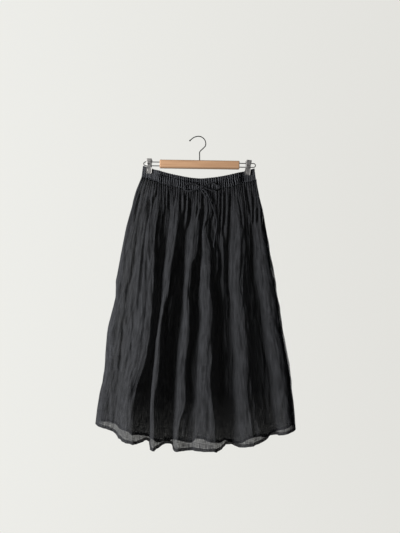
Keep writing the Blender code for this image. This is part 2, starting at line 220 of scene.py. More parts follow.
BACK_FOLDS = [
    SEAM_LEFT,
    ("crest_1", -148, -170, -196, -230, -266, 6, 20, 36),
    ("valley_1", -124, -138, -158, -192, -226, 7, 9, 9),
    ("crest_2", -94, -104, -124, -152, -180, 9, 28, 42),
    ("valley_2", -72, -80, -96, -112, -126, 8, 9, 9),
    ("crest_3", -52, -58, -66, -76, -86, 10, 26, 40),
    ("valley_3", -28, -28, -30, -36, -34, 9, 10, 9),
    ("crest_4", -4, -4, -2, 4, 2, 11, 28, 43),
    ("valley_4", 26, 30, 38, 48, 54, 9, 9, 9),
    ("crest_5", 46, 52, 60, 76, 88, 10, 26, 41),
    ("valley_5", 68, 74, 84, 102, 122, 8, 9, 9),
    ("crest_6", 94, 104, 122, 150, 170, 9, 28, 43),
    ("valley_6", 122, 134, 150, 180, 204, 7, 9, 9),
    ("crest_7", 148, 160, 182, 212, 244, 6, 20, 36),
    SEAM_RIGHT,
]

# Where the camera sees the front's fold lines, read off as (down, across) in picture units of 3 mm
UNIT = 3 * MM
SEEN_MIDDLE = 198.6
SEEN_TOP = 136.8
FRONT_TRACKS = {
    "crest_a": [
        (190, 159.5), (200, 159), (212, 158), (225, 155.3), (240, 154.5), (258, 154), (280, 153.2),
        (300, 152.3), (312, 152), (320, 150.7), (335, 149.5), (345, 148), (355, 146.8), (365, 144),
        (385, 137), (400, 133.5), (410, 132.8), (435, 132.5),
    ],
    "valley_b": [
        (190, 170.5), (200, 170.5), (212, 170), (225, 169.3), (235, 168.3), (245, 166.3), (258, 164.3),
        (270, 162.5), (280, 161.3), (300, 160.6), (312, 159), (320, 157.5), (330, 156), (340, 155),
        (350, 154), (365, 152.5), (385, 151), (410, 150), (440, 149),
    ],
    "crest_c": [
        (190, 181), (200, 180.2), (210, 179.7), (222, 178.5), (232, 177), (245, 175.5), (258, 173.8),
        (265, 172), (275, 170.6), (287, 169.3), (297, 167.5), (305, 165), (315, 163), (325, 161.2),
        (335, 160.2), (345, 159.7), (360, 159), (378, 157), (390, 155), (400, 153.5), (410, 153.5),
        (430, 154), (440, 154),
    ],
    "valley_d": [
        (190, 193), (200, 192.5), (212, 191.3), (220, 190), (230, 186.3), (240, 184.5), (258, 183.9),
        (270, 183.5), (295, 182.8), (305, 183.2), (312, 182.7), (320, 181), (330, 179.8), (340, 178.3),
        (350, 177.4), (360, 176.3), (370, 175.3), (380, 174.7), (400, 173.7), (420, 172.9), (440, 172.5),
    ],
    "crest_e": [
        (190, 200.5), (200, 200), (222, 199.3), (235, 198.2), (250, 197), (258, 195), (270, 191),
        (280, 190.2), (290, 188.9), (300, 188.2), (310, 188.8), (320, 189.7), (330, 190.2), (340, 189),
        (350, 186.5), (360, 185), (370, 184.5), (385, 185), (400, 185.5), (410, 184), (420, 181),
        (430, 179), (440, 178),
    ],
    "valley_f": [
        (190, 203), (200, 204), (215, 204), (225, 202.5), (232, 201.6), (240, 200.6), (250, 200.1),
        (260, 200.4), (280, 199.7), (287, 198.7), (295, 198.2), (305, 198.5), (312, 199), (330, 199),
        (340, 198.5), (350, 197.7), (360, 196.8), (370, 196.2), (390, 195.7), (400, 195.3), (410, 194.2),
        (420, 193.3), (440, 193),
    ],
    "crest_g": [
        (190, 208.5), (200, 208), (215, 207.7), (222, 206.7), (228, 205.7), (236, 205.2), (241, 206.4),
        (246, 207.8), (252, 209), (265, 209.6), (275, 209.2), (285, 208.8), (292, 209.5), (300, 211),
        (310, 212.6), (320, 212.8), (330, 211.7), (342, 209.8), (350, 210.5), (357, 212), (365, 211.2),
        (375, 210.2), (390, 210.6), (400, 211.5), (410, 212.8), (420, 214.5), (445, 216),
    ],
    "valley_h": [
        (190, 231.5), (212, 231.2), (225, 230.7), (240, 230.5), (258, 229), (270, 228.3), (280, 228.1),
        (290, 229), (300, 229.7), (310, 230.3), (320, 230.5), (330, 231), (340, 232), (350, 232.7),
        (380, 233.4), (430, 233.3), (440, 232),
    ],
    "crest_i": [
        (185, 236), (195, 237.2), (200, 238.3), (207, 239.8), (217, 240.8), (230, 241.4), (245, 241.6),
        (258, 241.2), (270, 240.8), (280, 240.2), (290, 240), (300, 241.5), (320, 244), (340, 245.5),
        (360, 246), (380, 246.5), (400, 247.5), (420, 250), (440, 252),
    ],
    "valley_j": [
        (185, 250), (200, 251), (225, 251), (240, 252.3), (258, 252.6), (270, 253.7), (280, 255.2),
        (290, 256.8), (300, 259), (310, 260.3), (320, 261.6), (340, 264), (350, 265.6), (360, 266.6),
        (370, 268.3), (380, 270), (400, 272), (410, 273), (430, 276),
    ],
    "crest_k": [
        (185, 256), (200, 258), (215, 259.5), (230, 261), (250, 263), (270, 266.5), (290, 270),
        (310, 272.5), (330, 275), (350, 279), (370, 282), (390, 284), (410, 287), (430, 289),
    ],
}

# The front's smaller folds, read off: how far each stands proud (below 0: a trough), how wide it is (to
# its left and its right where they differ), in millimetres, and its route, (down, across) in picture units
FRONT_CREASES = [
    # broad ones at the lower left
    (3, 26, 11, [(356, 129), (385, 129.5), (410, 130.5), (444, 131)]),
    (-2, 9, 7, [(372, 113), (400, 108), (424, 106)]),
    # the left side, from the waist down to the hem
    (-6, 4, [(188, 141.5), (203, 138), (213, 136), (226, 133.8)]),
    (-7, 5, 4, [
        (195, 150.5), (210, 149.2), (218, 148), (225, 146), (232, 144.8), (240, 143.5), (250, 143),
        (258, 142.6), (266, 142.5), (275, 141.7), (283, 140.8), (290, 140), (297, 138.5), (305, 137.8),
        (314, 137),
    ]),
    (4, 4, 3, [
        (210, 147.6), (222, 145.6), (232, 144), (240, 142.8), (250, 141.8), (262, 140.8), (275, 139.8),
        (285, 138.8), (295, 137.3),
    ]),
    (4, 4, [(186, 156.5), (194, 154.3), (200, 151.5), (208, 150)]),
    (-4, 4, 3, [(190, 157.8), (198, 155.2), (206, 152.8), (214, 151.8)]),
    (3, 4, 3, [(300, 130), (312, 131), (325, 132), (340, 130.5), (354, 130)]),
    (3, 9, 3, [(340, 131), (355, 130.8), (375, 131.3), (398, 131.4)]),
    (-3, 5, [(350, 121), (368, 119.5), (380, 118), (397, 116)]),
    (-3, 5, [(362, 115.5), (388, 114)]),
    (-4, 5, [(390, 108.7), (418, 108.5)]),
    (3, 8, 6, [(340, 128.2), (355, 126.5), (370, 125), (390, 125), (412, 125.5)]),
    (-3, 4, [(314, 122), (338, 123)]),
    (-3, 3, [(314, 127), (330, 127.5)]),
    (-2, 5, [(322, 124.8), (345, 121.5), (362, 119.5)]),
    (-3, 3, [(394, 135.6), (410, 134.4)]),
    (-2.5, 4, [(262, 133), (282, 130), (300, 124)]),
    (2.5, 5, 4, [(236, 136), (250, 133.5), (268, 130.5), (285, 129)]),
    (-2.5, 4, [(255, 147.5), (275, 147), (298, 147.2)]),
    (-2.5, 4, [(300, 146.5), (320, 144.5), (345, 141)]),
    # between the first fold and the second
    (2.5, 2.5, [(189, 161.5), (214, 161)]),
    (2.5, 2.5, [(189, 164), (216, 163.5)]),
    (2.5, 2.5, [(188, 166.5), (210, 166.5)]),
    (-5, 3.5, [(186, 169.3), (200, 168.8), (216, 169.5)]),
    (3, 4, [(226, 158.5), (258, 158)]),
    (2, 3, [(236, 163.2), (262, 162.6)]),
    # on the second fold
    (-5, 3, [(236, 170.4), (250, 169.8), (258, 169), (268, 168)]),
    (-3, 4, [(268, 166.8), (288, 166)]),
    (2.5, 4, [(254, 166.5), (265, 165), (273, 163.7), (282, 162.5)]),
    (3.5, 3, [(188, 174.8), (205, 172.4)]),
    (3, 3, [(188, 178), (205, 176)]),
    (-4, 2.5, [(192, 176), (200, 174.8), (209, 173.6)]),
    (-6, 3, [(188, 180.6), (207, 180.7), (216, 181.2)]),
    (-8, 4, [
        (246, 176.5), (258, 174.8), (265, 173), (275, 171.8), (287, 170.7), (293, 169.6), (299, 168),
        (305, 166.2), (312, 165), (328, 163),
    ]),
    # right of the second fold
    (6, 8, 10, [
        (264, 180), (275, 177.6), (283, 175), (290, 173), (300, 171.5), (310, 169.5), (325, 168),
        (340, 166.5), (364, 165.5),
    ]),
    (4, 3.5, [(191, 183.2), (208, 183.3), (216, 182.8)]),
    (7, 3.5, 3, [(194, 188), (203, 187.4), (210, 186.9), (217, 186.2), (224, 185.3), (232, 184.3)]),
    (-6, 3, [(196, 189.6), (208, 190.2), (214, 190.4), (220, 189.4), (225, 187.6), (232, 185.6)]),
    (-4, 3, [(192, 186), (205, 185), (214, 184.3), (224, 183.6)]),
    (-5, 3, [(356, 173.6), (372, 172.8), (385, 172.5), (402, 172)]),
    (-3, 3, [(362, 171), (380, 170), (398, 169)]),
    # on the third fold
    (-6, 4, [(201, 198.8), (209, 198), (215, 196.3), (223, 194.5)]),
    (4, 3, [(204, 199.8), (212, 199.2), (217, 197.8), (225, 196.2)]),
    (4, 4, [(254, 197.5), (268, 196.5), (280, 195.5), (292, 194.5), (306, 193.5)]),
    (-4, 4, [(258, 194), (275, 192.5), (292, 191.5)]),
    (-3, 3, [(282, 189.2), (301, 188.6)]),
    (-8, 3.5, 3, [
        (191, 202.8), (205, 203), (215, 202.8), (225, 201.5), (232, 200.8), (240, 199.8), (250, 199.3),
        (260, 199.6), (272, 199.3), (280, 198.7), (288, 197.7), (296, 197.1), (305, 197.3), (315, 198),
        (334, 198.3),
    ]),
    (-5, 3.5, [(364, 184), (373, 181.6), (379, 179.3), (386, 177)]),
    (4, 4, [(348, 182.8), (362, 181.5), (370, 180), (379, 177.5)]),
    (-3, 4, [(322, 184.5), (336, 186.5)]),
    # on the fourth fold, below the tie
    (3, 3, [(287, 209.6), (304, 209.9)]),
    (-4, 3, [(341, 210.4), (350, 208.9), (359, 207.6)]),
    (4, 3, [(344, 211.4), (356, 211.6), (368, 210.9)]),
    (4, 6, 5, [(388, 210.4), (405, 212), (415, 213.4), (428, 214.5)]),
    (-3, 3, 4, [(398, 208.8), (416, 208.7), (436, 208.8)]),
    (-2.5, 4, [(262, 205), (290, 204.5), (320, 206.5)]),
    # between the fourth fold and the fifth
    (4, 4, [(190, 211.8), (205, 211.2), (222, 211.5)]),
    (-6, 3.5, [(200, 208.8), (217, 209)]),
    (-7, 3.5, [(203, 212.9), (219, 213.1)]),
    (4, 4, [(200, 214.2), (212, 214.6), (222, 214.3), (232, 215.8), (240, 216.8)]),
    (5, 3, [(187, 216.4), (200, 216.3), (209, 217)]),
    (4, 3, [(187, 218.8), (206, 218.8), (218, 219.5)]),
    (-5, 3, [(206, 217.8), (219, 217)]),
    (-7, 3, [(194, 220.7), (208, 220.6), (224, 220.5), (234, 219.5)]),
    (4, 4, [(188, 222.6), (207, 222.7), (228, 222)]),
    (-6, 3.5, [(188, 224.7), (205, 224.5), (217, 224.5), (228, 223.2), (240, 222.5)]),
    (4, 6, [(189, 228), (207, 227.8), (225, 226.7), (248, 225.3)]),
    (-4, 3, [(190, 230.6), (209, 230.5)]),
    (6, 5, 9, [(228, 221.5), (245, 222), (262, 223), (280, 222.5), (302, 223.5)]),
    (-6, 3, [(236, 227.5), (250, 227), (262, 227.4), (275, 227.2), (290, 226.6)]),
    (3, 3, [(272, 225.4), (302, 225.6)]),
    (6, 3.5, [(246, 217.2), (260, 217.3), (268, 216.6), (275, 215), (284, 213.8)]),
    (-6, 3, [(246, 218.9), (262, 218.8), (275, 218), (288, 216.5)]),
    (-5, 3, [(300, 229.3), (324, 229.3)]),
    # on the fifth fold
    (-5, 3.5, [(191, 236), (200, 238.6), (208, 240.4), (218, 241.6), (230, 242.3)]),
    (-6, 3, [(236, 242.3), (250, 242.6), (262, 242.2), (274, 241.3), (284, 240.6)]),
    (-4, 3, [(280, 240.1), (290, 241.3), (299, 242.3)]),
    (3, 6, [(240, 245), (262, 246), (290, 246.8)]),
    (3, 4, [(294, 246.5), (305, 247), (316, 246.5)]),
    (-4, 2.5, [(316, 247), (330, 245.8)]),
    (-2.5, 3, [(330, 244), (342, 245.5), (352, 243)]),
    (2.5, 4, [(316, 249), (334, 248)]),
    (-2.5, 3, [(298, 244.5), (316, 242)]),
    (3, 4, 3, [(372, 244), (385, 243.8), (398, 245.6)]),
    (-3, 4, [(372, 242.3), (384, 243), (394, 244.6)]),
    (-4, 5, [(412, 240.2), (424, 245), (436, 250)]),
    (5, 12, 8, [(408, 251), (422, 256), (438, 261)]),
    (3, 3, [(396, 255.6), (406, 255), (418, 253.8)]),
    (-3, 3, [(398, 252.8), (417, 251.5)]),
    # the right side
    (-6, 3.5, [(184, 245), (194, 247.4), (203, 249), (212, 250.3), (219, 250.6)]),
    (5, 5, [(188, 249), (200, 251), (210, 251.8), (228, 251.3)]),
    (-5, 3.5, [(193, 253), (207, 253.6), (218, 253.6), (228, 252.6)]),
    (4, 4, [(205, 255.5), (226, 255.6)]),
    (-4, 3, [(203, 257.5), (226, 258)]),
    (3, 5, [(205, 248.5), (225, 249), (240, 249.3), (266, 249)]),
    (-7, 3.5, [(232, 251.4), (245, 251.6), (258, 251.5), (268, 252.3), (282, 253.2)]),
    (4, 6, [(386, 283.4), (405, 281.5), (428, 280.5)]),
    (2.5, 5, [(270, 262), (290, 261), (304, 260.5)]),
    (-3, 4, [(236, 258), (262, 258.5)]),
]
# The length over which a fold fades in and out at its ends, in picture units
CREASE_ENDS = 9.0

# How far each side edge wanders to the right of its even line, in millimetres, at shares of the way down
SIDE_WAVES = {
    "seam_left": (
        (0.05, 0), (0.12, 3.5), (0.2, 0.5), (0.42, 0), (0.46, 4), (0.49, 7), (0.53, 4), (0.58, 0),
        (0.61, -2.5), (0.68, 0), (0.75, 4), (0.78, 6), (0.83, 4.5), (0.88, 0), (0.95, -1), (1, 0),
    ),
    "seam_right": (
        (0.07, 0), (0.12, 3), (0.2, 1), (0.28, 1), (0.34, 2.5), (0.41, 4), (0.44, 0.5), (0.47, 1),
        (0.51, 4), (0.54, 1.5), (0.6, 0.5), (0.65, 4), (0.7, 6), (0.75, 8), (0.8, 7.5), (0.83, 5.5),
        (0.9, 6.5), (0.95, 5), (1, 2),
    ),
}

# How far each hem hangs below its even line, in millimetres, at places across in picture units
FRONT_HEM_DROPS = (
    (96, -2), (102, -5), (110, -7), (115, -4), (119, 6), (124, 4), (130, 0), (139, 6), (143, 6), (146, 1),
    (150, 8), (158, 3), (162, 0), (170, 2), (174, 7), (178, 2), (214, -1), (218, 4), (222, 6), (226, -2),
    (239, 5), (248, 0), (266, 1), (270, -8), (279, -2), (286, -7), (292, -9),
)
BACK_HEM_DROPS = (
    (96, -2), (110, -5), (128, 0), (132, 11), (147, 12), (150, 6), (153, 5), (157, 12), (169, 12), (173, 0),
    (224, 0), (228, 8), (260, 9), (265, 4), (270, 5), (284, 6), (289, 0), (292, -9),
)

# What only the looks have besides: gathers, which are narrow ridges from the casing down, loose folds and
# crumples, the back's wandering folds, where each side reads its noise, and finer grids (columns, rows)
GATHERS = 54
GATHER_HEIGHT = 2.35 * MM
LOOSE_FOLD = 2.6 * MM
CASING_RUFFLE = 2.4 * MM
HEADER_FRILL = 2.3 * MM
CRUMPLE = 2.6 * MM
CREPE = 1.2 * MM
BACK_WANDER = 16 * MM
FRONT_SHIFT = 11.3
BACK_SHIFT = 47.9
FRONT_GRID = (390, 112)
BACK_GRID = (300, 96)
ROW_SPACING = 1.12
PANEL_DROP = 790 * MM
PANEL_TUCK = 1.5 * MM
CASING_ROWS = 34
CASING_COLUMNS_A_GATHER = 8
HEM_TURN = 8 * MM
HEM_ROLL = 0.9 * MM
HEM_SWELL = 0.5 * MM
STITCH_GROOVE = 1.6 * MM

# The stitches: length and gap in the hem and in the casing, and the thread
HEM_STITCH = (2.4 * MM, 1.4 * MM)
CASING_STITCH = (1.9 * MM, 1.2 * MM)
THREAD_RADIUS = 0.3 * MM

# How close to the line on its left the cloth rises or falls towards each line; 1 is even
LEANS = {
    "valley_b": 1.6,
    "crest_c": 2.0,
    "valley_d": 1.8,
    "crest_e": 1.9,
    "valley_f": 1.5,
    "crest_g": 1.7,
    "valley_h": 1.9,
    "crest_i": 1.7,
    "valley_j": 1.25,
    "crest_k": 1.2,
    "crest_2": 1.3,
    "valley_3": 1.5,
    "crest_4": 1.2,
    "valley_5": 1.4,
    "crest_6": 1.2,
}


def through(knots, values, at):
    """A smooth Hermite curve through values at knots, read at one place."""
    last = len(knots) - 1
    i = min(max(int(np.searchsorted(knots, at, side="right")) - 1, 0), last - 1)
    slopes = []
    for k in (i, i + 1):
        low, high = max(k - 1, 0), min(k + 1, last)
        slopes.append((values[high] - values[low]) / (knots[high] - knots[low]))
    width = knots[i + 1] - knots[i]
    u = (at - knots[i]) / width
    start = (1 + 2 * u) * (1 - u) ** 2 * values[i] + u * (1 - u) ** 2 * width * slopes[0]
    end = u * u * (3 - 2 * u) * values[i + 1] + u * u * (u - 1) * width * slopes[1]
    return start + end


def waist_top(x):
    """Height of the waist's upper edge."""
    share = np.abs(x - MIDDLE_X) / WAIST_HALF
    return WAIST_TOP_Z + WAIST_SAG * share**SAG_POWER - math.tan(HANG_TILT) * (x - MIDDLE_X)


def hem_line(x):
    """Height of the hem."""
    return HEM_LOW_Z + HEM_RISE * (np.abs(x - HEM_MIDDLE_X) / HEM_HALF) ** HEM_POWER


def fold_shares(folds):
    """Where each fold line lies across the flat cloth, from 0 to 1."""
    steps = [math.hypot(b[5] - a[5], b[8] - a[8]) for a, b in zip(folds, folds[1:])]
    along = np.concatenate([[0], np.cumsum(steps)])
    return along / along[-1]


def seen(points):
    """Where the camera sees points, as (across, down) in picture units."""
    scale = CAMERA[1] / (CAMERA[1] - points[..., 1])
    x = CAMERA[0] + (points[..., 0] - CAMERA[0]) * scale
    z = CAMERA[2] + (points[..., 2] - CAMERA[2]) * scale
    return SEEN_MIDDLE + x / UNIT, SEEN_TOP - z / UNIT


def line_x(line, height, depth, tracks):
    """Where a fold line runs at one height: by its track as the camera sees it, or else by its table."""
    x = through(LINE_HEIGHTS, line[1:6], height) * MM
    if line[0] in SIDE_WAVES:
        x += np.interp(height, *zip(*SIDE_WAVES[line[0]])) * MM
    if line[0] not in tracks:
        return x
    top = waist_top(x) - CASING_HEIGHT
    _, down = seen(np.array([x, -depth, top + (hem_line(x) - top) * height]))
    across = np.interp(down, *zip(*tracks[line[0]]))
    return CAMERA[0] + ((across - SEEN_MIDDLE) * UNIT - CAMERA[0]) * (CAMERA[1] + depth) / CAMERA[1]


def section(folds, places, height, tracks, wander):
    """The folded cloth's section at one height, as (x, depth) for each place across it, without gathers."""
    shares = fold_shares(folds)
    ds = np.array([through(DEPTH_HEIGHTS, line[6:9], height) * MM for line in folds])
    xs = np.array([line_x(line, height, depth, tracks) for line, depth in zip(folds, ds)])
    for k in range(1, len(folds) - 1):
        xs[k] += wander * (0.2 + 0.8 * height) * noise.noise(Vector((3.7 * k, 2.3 * height, 0.5)))
        ds[k] *= 1 + 25 * wander * noise.noise(Vector((5.3 * k, 2.0 * height, 7.5))) * (ds[k] > 12 * MM)
    i = np.clip(np.searchsorted(shares, places, side="right") - 1, 0, len(folds) - 2)
    u = (places - shares[i]) / (shares[i + 1] - shares[i])
    leans = np.array([LEANS.get(line[0], 1.0) for line in folds])[i + 1]
    swing = FLANK_STEEPNESS * np.sin(2 * np.pi * u) / (2 * np.pi)
    x = xs[i] + (xs[i + 1] - xs[i]) * np.where(leans > 1, u**leans, u + swing)
    d = ds[i] + (ds[i + 1] - ds[i]) * (1 - np.cos(np.pi * u)) / 2
    for beside_seam, seam, fold, share in ((i == 0, i, i + 1, u), (i == len(folds) - 2, i + 1, i, 1 - u)):
        quarter = np.pi / 2 * share
        x = np.where(beside_seam, xs[fold] - (xs[fold] - xs[seam]) * np.cos(quarter), x)
        d = np.where(beside_seam, ds[seam] + (ds[fold] - ds[seam]) * np.sin(quarter), d)
    return np.stack([x, d], axis=1)


def lengths_along(path):
    """How far along a path each of its points lies."""
    return np.concatenate([[0], np.cumsum(np.linalg.norm(np.diff(path, axis=0), axis=1))])


def out_of(line):
    """Unit normals of a section that point out of the skirt."""
    step = np.gradient(line, axis=0)
    out = np.stack([-step[:, 1], step[:, 0]], axis=1)
    return out / np.linalg.norm(out, axis=1)[:, None]


def smooth_step(low, high, value):
    """0 below low, 1 above high, smooth between."""
    u = np.clip((value - low) / (high - low), 0, 1)
    return u * u * (3 - 2 * u)


def drift_noise(places, scale, shift):
    """A slow random line along the cloth, from -1 to 1."""
    return np.array([noise.noise(Vector((p * scale, shift, 0.37))) for p in places])


def field(rows, columns, across, down, shift, octaves):
    """Smooth noise over the flat cloth: across and down are the number of bumps each way."""
    made = np.zeros((rows, columns))
    for r in range(rows):
        for c in range(columns):
            at = Vector((c / columns * across, r / rows * down, shift))
            made[r, c] = noise.fractal(at, 0.9, 2.1, octaves)
    return made


def gathered(turn):
    """The wave of the gathers: each steeper on its one side."""
    return np.sin(turn) + 0.25 * np.sin(2 * turn + 1.1)


class Cloth:
    """One side of the skirt: places across its flat cloth, and gathers that run through casing and panel."""

    def __init__(self, folds, columns, side, tracks, creases, shift, wander=0.0):
        self.folds = folds
        self.side = side
        self.tracks = tracks
        self.creases = creases
        self.shift = shift
        self.wander = wander
        fine = np.linspace(0, 1, 4001)
        waist = section(folds, fine, 0.0, tracks, wander)[:, 0]
        waist_share = (waist - waist[0]) / (waist[-1] - waist[0])
        self.places = np.interp(np.linspace(0, 1, columns + 1), 0.5 * (fine + waist_share), fine)
        self.edge = smooth_step(0, 0.012, self.places) * smooth_step(0, 0.012, 1 - self.places)
        across = np.interp(self.places, fine, waist_share)
        drift = 0.7 * drift_noise(across, 9, shift) + 0.4 * drift_noise(across, 33, shift + 5)
        self.phase = GATHERS * across + drift
        self.strength = 1 + 0.6 * drift_noise(across, 40, shift + 9)

    def section(self, height):
        """This side's section at one height."""
        return section(self.folds, self.places, height, self.tracks, self.wander)

    def waves(self, height):
        """Gathers at one height: the finest end first, wider ones take over and reach the hem."""
        turn = 2 * np.pi * self.phase
        reach = 0.06 + 0.045 * drift_noise(self.places, 26, self.shift + 2)
        fine = GATHER_HEIGHT * np.exp(-height / reach) * self.strength
        made = fine * gathered(turn)
        broad = 1.0 if self.side > 0 else 0.35
        middle = LOOSE_FOLD * math.exp(-(((height - 0.16) / 0.16) ** 2))
        middle *= 1 + drift_noise(self.places, 17, self.shift + 3)
        made += broad * middle * np.sin(turn / 2 + 2.2 * drift_noise(self.places, 7, self.shift + 4))
        loose = LOOSE_FOLD * smooth_step(0.08, 0.4, height) * (1 - 0.45 * smooth_step(0.6, 1, height))
        drift = 3 * drift_noise(self.places, 5, self.shift + 6)
        made += broad * loose * np.sin(turn / 4.3 + drift + 1.2 * height)
        return made * self.edge

    def creased(self, line, heights):
        """How far the listed folds push each point of a row out."""
        across, down = seen(placed(line, heights, self.side))
        along = lengths_along(line)
        made = np.zeros(len(line))
        for proud, *widths, route in self.creases:
            route_down, route_across = zip(*route)
            beside = np.maximum.accumulate(across - np.interp(down, route_down, route_across))
            middle = np.interp(0, beside, along)
            level = np.interp(middle, along, down)
            ends = min(CREASE_ENDS, 0.45 * (route_down[-1] - route_down[0]))
            strength = smooth_step(0, ends, level - route_down[0])
            strength = strength * smooth_step(0, ends, route_down[-1] - level)
            away = along - middle
            width = np.where(away < 0, widths[0], widths[-1]) * MM
            made += proud * MM * strength * np.exp(-((away / width) ** 2))
        return made * self.edge


def shifted(line, by):
    """A section with each point moved along its normal."""
    return line + out_of(line) * by[:, None]


def kept_outside(line):
    """A section whose points stay on their own side of the seams."""
    line[:, 1] = np.where(line[:, 1] < 0.8 * MM, np.maximum(line[:, 1] * 0.3 + 0.5 * MM, 0), line[:, 1])
    line[[0, -1], 1] = 0
    return line


def placed(line, heights, side):
    """3-D points of a section."""
    return np.stack([line[:, 0], side * (line[:, 1] + SEAM_GAP / 2), heights], axis=1)


def panel_rows(cloth, rows):
    """The rows of points of a panel from the casing to the hem's edge, then up inside its turned hem."""
    columns = len(cloth.places)
    crumple = CRUMPLE * field(rows + 1, columns, 70, 10, cloth.shift, 3)
    crepe = CREPE * (0.3 - np.abs(field(rows + 1, columns, 38, 9, cloth.shift + 7, 2)))
    waist = cloth.section(0.0)
    hem = cloth.section(1.0)
    tops = waist_top(waist[:, 0]) - CASING_HEIGHT + PANEL_TUCK
    bottoms = hem_line(hem[:, 0])
    across, _ = seen(placed(hem, bottoms, cloth.side))
    drops = FRONT_HEM_DROPS if cloth.side < 0 else BACK_HEM_DROPS
    bottoms = bottoms - MM * np.interp(across, *zip(*drops))
    made = []
    for r in range(rows + 1):
        height = (r / rows) ** ROW_SPACING
        line = cloth.section(height)
        calm = smooth_step(0.02, 0.2, height)
        by = cloth.waves(height) + (crumple[r] + crepe[r]) * calm * cloth.edge
        by += cloth.creased(line, tops + (bottoms - tops) * height)
        band = smooth_step(HEM_TURN, 0, (1 - height) * PANEL_DROP)
        line = kept_outside(shifted(line, by + HEM_SWELL * band * cloth.edge))
        made.append(placed(line, tops + (bottoms - tops) * height, cloth.side))
    for turn in np.radians(np.linspace(30, 180, 4)):
        rolled = shifted(line, -HEM_ROLL * (1 - math.cos(turn)) * cloth.edge)
        made.append(placed(kept_outside(rolled), bottoms - HEM_ROLL * math.sin(turn), cloth.side))
    for up in (0.35, 0.7, 1.0):
        rolled = shifted(line, -2 * HEM_ROLL * cloth.edge)
        made.append(placed(kept_outside(rolled), bottoms + up * HEM_TURN, cloth.side))
    return np.array(made)


def casing_line(cloth, drop):
    """A section of the casing at a drop below its upper edge, and how free of the clips each point is."""
    line = cloth.section(0.0)
    down = drop / CASING_HEIGHT
    line[:, 0] = MIDDLE_X + (line[:, 0] - MIDDLE_X) * (CASING_TAPER + (1 - CASING_TAPER) * down)
    from_bar = line[:, 0] - SHAFT_X
    inside = np.minimum(from_bar - CLIPS[0][1], CLIPS[1][1] - from_bar)
    flat = np.clip((CLIP_WIDTH * 1.9 - inside) / (CLIP_WIDTH * 1.2), 0, 1) * min(1, (1.25 - down) / 0.5)
    flat = smooth_step(0, 1, flat)
    line[:, 1] += (np.minimum(line[:, 1], WAIST_PINCHED) - line[:, 1]) * flat
    return line, 1 - 0.85 * flat


def casing_rows(cloth, rows):
    """The rows of a waistband: up its outside, over the top edge and a little way down the inside."""
    made = []
    for r in range(rows + 1):
        drop = CASING_HEIGHT * (1 - r / rows)
        down = drop / CASING_HEIGHT
        line, free = casing_line(cloth, drop)
        turn = 2 * np.pi * (cloth.phase + 0.4 * drift_noise(cloth.phase, 0.4, cloth.shift + 2.2 * down))
        strength = cloth.strength * (1 + 0.6 * drift_noise(cloth.phase, 0.6, cloth.shift + 20 + 3 * down))
        wave = gathered(turn) * strength
        frill = (np.sin(turn + 0.5) + 0.35 * np.sin(2 * turn + 2.3)) * strength
        in_header = smooth_step(HEADER_HEIGHT, 0.6 * HEADER_HEIGHT, drop)
        belly = math.sin(math.pi * min(max((drop - HEADER_HEIGHT) / (CASING_HEIGHT - HEADER_HEIGHT), 0), 1))
        stitched = math.exp(-(((drop - HEADER_HEIGHT) / STITCH_GROOVE) ** 2)) + smooth_step(0.94, 1, down)
        swell = (0.4 + 1.5 * belly**0.6) * MM
        by = swell + CASING_RUFFLE * wave * (1 - in_header) + HEADER_FRILL * frill * in_header
        by = by * (1 - 0.7 * min(stitched, 1)) - STITCH_GROOVE * min(stitched, 1)
        line = kept_outside(shifted(line, by * free * cloth.edge))
        made.append(placed(line, waist_top(line[:, 0]) - drop, cloth.side))
    top = made[-1]
    inward = np.array([0, -cloth.side, 0])
    for over, down in ((0.3, -0.5), (1.0, -0.7), (1.7, -0.3), (2.0, 1.5), (2.2, 5), (2.4, 9), (2.4, 14)):
        depth = np.minimum(over * MM, np.abs(top[:, 1]) - 0.3 * MM)[:, None]
        made.append(top + inward * np.maximum(depth, 0) + np.array([0, 0, -down * MM]))
    return np.array(made)


def sheet_mesh(name, points, size, thick, material, left_out=None):
    """A shell through a grid of points, without those left out. Its UVs are the flat sheet in metres."""
    rows, columns = points.shape[:2]
    mesh = bpy.data.meshes.new(name)
    corner = np.arange(rows * columns).reshape(rows, columns)
    upper, lower = corner[:-1], corner[1:]
    faces = np.stack([upper[:, :-1], upper[:, 1:], lower[:, 1:], lower[:, :-1]], axis=-1).reshape(-1, 4)
    if left_out is not None:
        faces = faces[~left_out.reshape(-1)[faces].any(axis=1)]
    mesh.from_pydata(points.reshape(-1, 3).tolist(), [], faces.tolist())
    layer = mesh.uv_layers.new(name="cloth")
    spots = np.empty((len(mesh.loops), 2))
    index = faces.reshape(-1)
    spots[:, 0] = index % columns / (columns - 1) * size[0]
    spots[:, 1] = index // columns / (rows - 1) * size[1]
    layer.data.foreach_set("uv", spots.reshape(-1))
    made = linked(name, mesh, material)
    shell = made.modifiers.new("shell", "SOLIDIFY")
    shell.thickness = thick
    shell.offset = 0
    for face in mesh.polygons:
        face.use_smooth = True
    return made


def linked(name, data, material=None):
    """A new object in the scene, with one material or, for a lamp or camera, none."""
    if material is not None:
        data.materials.append(material)
    made = bpy.data.objects.new(name, data)
    bpy.context.scene.collection.objects.link(made)
    return made


def finished(name, bm, material):
    """A new object from a built bmesh."""
    mesh = bpy.data.meshes.new(name)
    bm.to_mesh(mesh)
    bm.free()
    return linked(name, mesh, material)


def hang(piece, slot, *nodes):
    """A piece of the hanging skirt: it rides on the one body and stands for its solids."""
    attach(piece, "root")
    if nodes:
        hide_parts(*nodes)


def preset(node, values):
    """Sets plain values on a node's inputs."""
    for name, value in values.items():
        node.inputs[name].default_value = value


